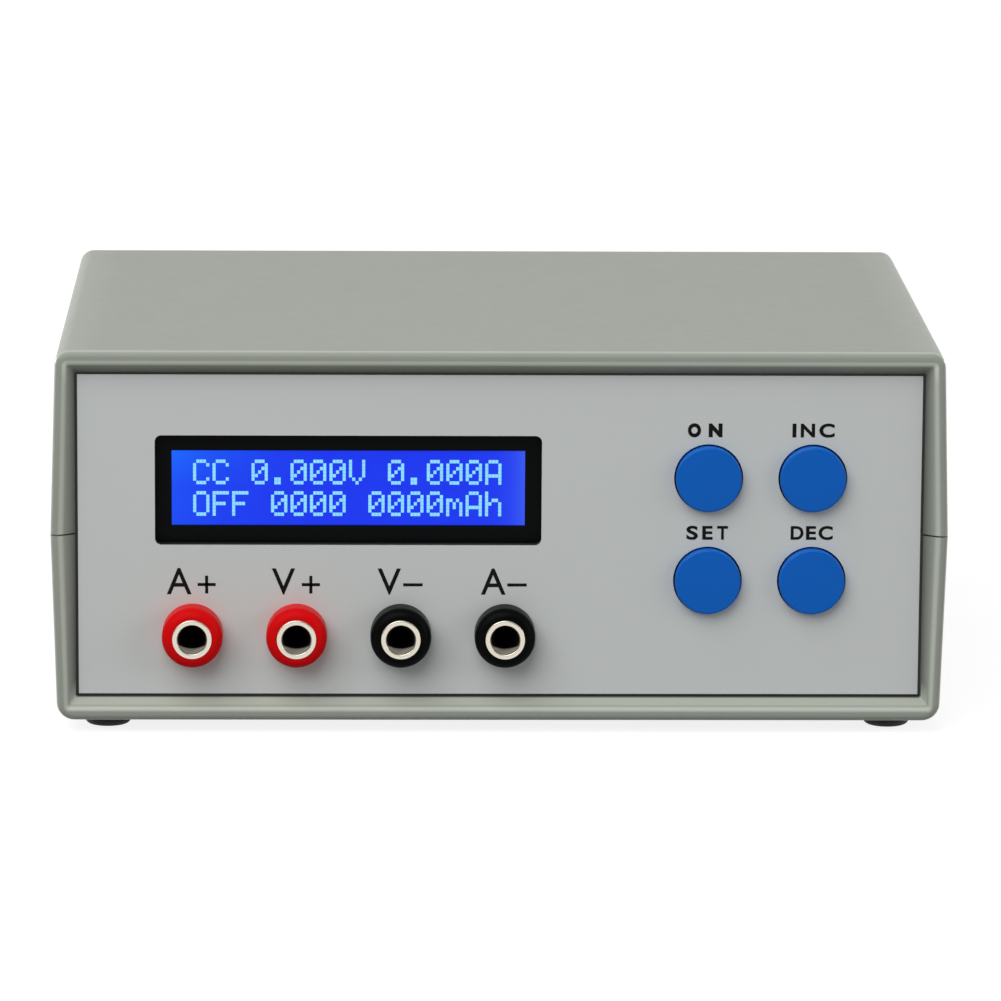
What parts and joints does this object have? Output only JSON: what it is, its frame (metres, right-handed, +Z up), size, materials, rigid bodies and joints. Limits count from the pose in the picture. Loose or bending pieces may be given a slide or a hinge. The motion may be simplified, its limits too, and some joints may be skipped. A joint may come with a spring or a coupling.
{
  "type": "dc electronic load",
  "caption": "Bench dc electronic load: two-part moulded case, recessed front panel with backlit character display, banana sockets and round push buttons, fan-cooled inside.",
  "frame": {"origin": "on the bench surface under the middle of the overall box", "axes": "+X to the right seen from the front, +Y to the rear, +Z up"},
  "size_m": [0.1634, 0.124, 0.071],
  "materials": {
    "case_plastic": "warm grey, finely textured moulding",
    "plate_black": "dark grey satin plate",
    "film_silver": "silver-grey satin film",
    "foot_rubber": "black soft rubber",
    "steel": "bright zinc plated",
    "bezel_black": "black satin sheet steel",
    "display_blue": "backlit blue liquid crystal",
    "diffuser_white": "white diffuser block",
    "circuit_board": "green solder mask",
    "spacer_nylon": "natural nylon",
    "socket_red": "red moulded nylon",
    "socket_black": "black moulded nylon",
    "contact_nickel": "bright nickel plate",
    "button_blue": "blue satin moulding",
    "plunger_white": "white moulding",
    "moulded_black": "black moulding",
    "sink_aluminium": "plain extruded aluminium",
    "chip_black": "black moulded package",
    "pad_grey": "soft insulating pad",
    "copper": "bare copper alloy",
    "capacitor_sleeve": "dark shrink sleeve",
    "connector_cream": "cream nylon",
    "fan_black": "black moulding",
    "bearing_bronze": "sintered bronze",
    "wire_red": "red insulation",
    "wire_black": "black insulation",
    "ribbon_grey": "grey ribbon cable"
  },
  "bodies": {
    "case": {"top_cover": "case_plastic", "bottom_cover": "case_plastic", "front_panel": "plate_black", "rear_panel": "plate_black", "front_film": "film_silver", "rubber_feet": "foot_rubber", "case_screws": "steel", "panel_screws": "steel", "panel_nuts": "steel", "jack_nuts": "steel", "main_board_screws": "steel", "transistor_screws": "steel", "dc_inlet_nut": "steel", "data_jack_nut": "steel", "fan_screws": "steel", "fan_nuts": "steel", "fan_guard": "steel", "display_bezel": "bezel_black", "display_glass": "display_blue", "display_backlight": "diffuser_white", "display_board": "circuit_board", "key_board": "circuit_board", "main_board": "circuit_board", "panel_spacers": "spacer_nylon", "red_jack_insulators": "socket_red", "black_jack_insulators": "socket_black", "jack_contacts": "contact_nickel", "dc_inlet_pin": "contact_nickel", "key_switches": "moulded_black", "dc_inlet": "moulded_black", "data_jack": "moulded_black", "heatsink": "sink_aluminium", "power_transistors": "chip_black", "control_chips": "chip_black", "thermal_pads": "pad_grey", "shunt_resistor": "copper", "fan_stator": "copper", "capacitors": "capacitor_sleeve", "board_connectors": "connector_cream", "fan_frame": "fan_black", "fan_bearing": "bearing_bronze", "load_wires": "wire_red", "sense_wires": "wire_red", "fan_lead": "wire_black", "dc_lead": "wire_black", "data_lead": "wire_black", "display_ribbon": "ribbon_grey", "key_ribbon": "ribbon_grey"},
    "on_key": {"on_button": "button_blue", "on_plunger": "plunger_white"},
    "set_key": {"set_button": "button_blue", "set_plunger": "plunger_white"},
    "inc_key": {"inc_button": "button_blue", "inc_plunger": "plunger_white"},
    "dec_key": {"dec_button": "button_blue", "dec_plunger": "plunger_white"},
    "fan_rotor": {"fan_impeller": "fan_black", "fan_shaft": "steel"}
  },
  "joints": [
    {"name": "on_press", "type": "slide", "parent": "case", "child": "on_key", "axis": [0, 1, 0], "range_m": [0, 0.0003], "stiffness_N_per_m": 1000, "springref_m": -0.0005},
    {"name": "set_press", "type": "slide", "parent": "case", "child": "set_key", "axis": [0, 1, 0], "range_m": [0, 0.0003], "stiffness_N_per_m": 1000, "springref_m": -0.0005},
    {"name": "inc_press", "type": "slide", "parent": "case", "child": "inc_key", "axis": [0, 1, 0], "range_m": [0, 0.0003], "stiffness_N_per_m": 1000, "springref_m": -0.0005},
    {"name": "dec_press", "type": "slide", "parent": "case", "child": "dec_key", "axis": [0, 1, 0], "range_m": [0, 0.0003], "stiffness_N_per_m": 1000, "springref_m": -0.0005},
    {"name": "fan_spin", "type": "hinge", "parent": "case", "child": "fan_rotor", "pos_m": [-0.036, 0.05, 0.03675], "axis": [0, 1, 0], "continuous": true}
  ]
}
